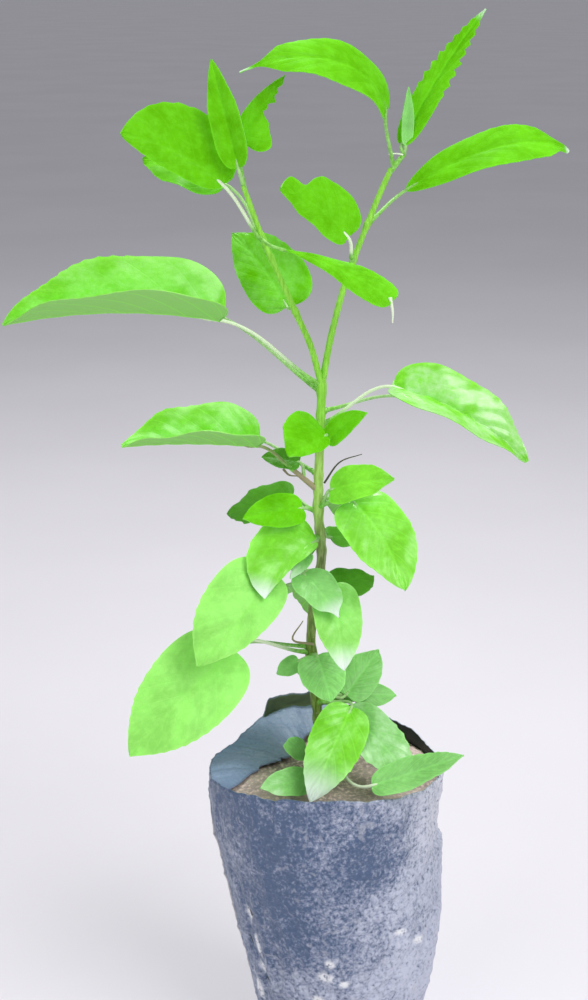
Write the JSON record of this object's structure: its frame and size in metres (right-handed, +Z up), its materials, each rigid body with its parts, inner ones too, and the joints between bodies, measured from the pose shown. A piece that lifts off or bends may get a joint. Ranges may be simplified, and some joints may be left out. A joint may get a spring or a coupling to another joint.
{
  "type": "potted hibiscus shrub",
  "caption": "Young upright hibiscus shrub with one thin forked stem and sparse pointed leaves, in a soft plastic nursery bag of soil with a folded-over rim.",
  "frame": {"origin": "centre of the bag's flat underside", "axes": "+Z up along the stem, +Y to the back, +X to the right as seen from the front"},
  "size_m": [0.2207, 0.1006, 0.4439],
  "materials": {
    "leaf": "satin, light green with paler veins",
    "green_bark": "smooth green young bark",
    "bark": "dull olive brown bark, green above",
    "film": "dusty dark film with water specks",
    "soil": "rough and matt"
  },
  "bodies": {
    "root": {"bag": "film", "soil": "soil", "trunk": "bark", "bough_right": "green_bark", "bough_left": "green_bark", "leaves_right_tip": "leaf", "leaves_right_upper": "leaf", "leaves_right_lower": "leaf", "leaves_left_tip": "leaf", "leaves_left_middle": "leaf", "leaves_left_lower": "leaf", "leaves_fork_left": "leaf", "leaves_upper_right": "leaf", "leaves_side_shoot": "leaf", "leaves_upper_front": "leaf", "leaves_middle_right": "leaf", "leaves_middle_left": "leaf", "leaves_lower_left": "leaf", "leaves_lower_back": "leaf", "leaves_left_broad": "leaf", "leaves_right_broad": "leaf", "leaves_right_round": "leaf", "leaves_lowest_left": "leaf", "leaves_low_front": "leaf", "leaves_low_right": "leaf", "leaves_foot_front": "leaf", "leaves_foot_right": "leaf", "leaves_foot_left": "leaf", "leaves_back_bough": "leaf", "leaves_back_fork": "leaf", "leaves_back_upper_right": "leaf", "leaves_back_side": "leaf", "leaves_back_right": "leaf", "leaves_back_middle": "leaf", "leaves_back_left": "leaf", "leaves_back_lowest": "leaf", "leaves_back_low": "leaf", "leaves_back_foot": "leaf"}
  },
  "joints": []
}
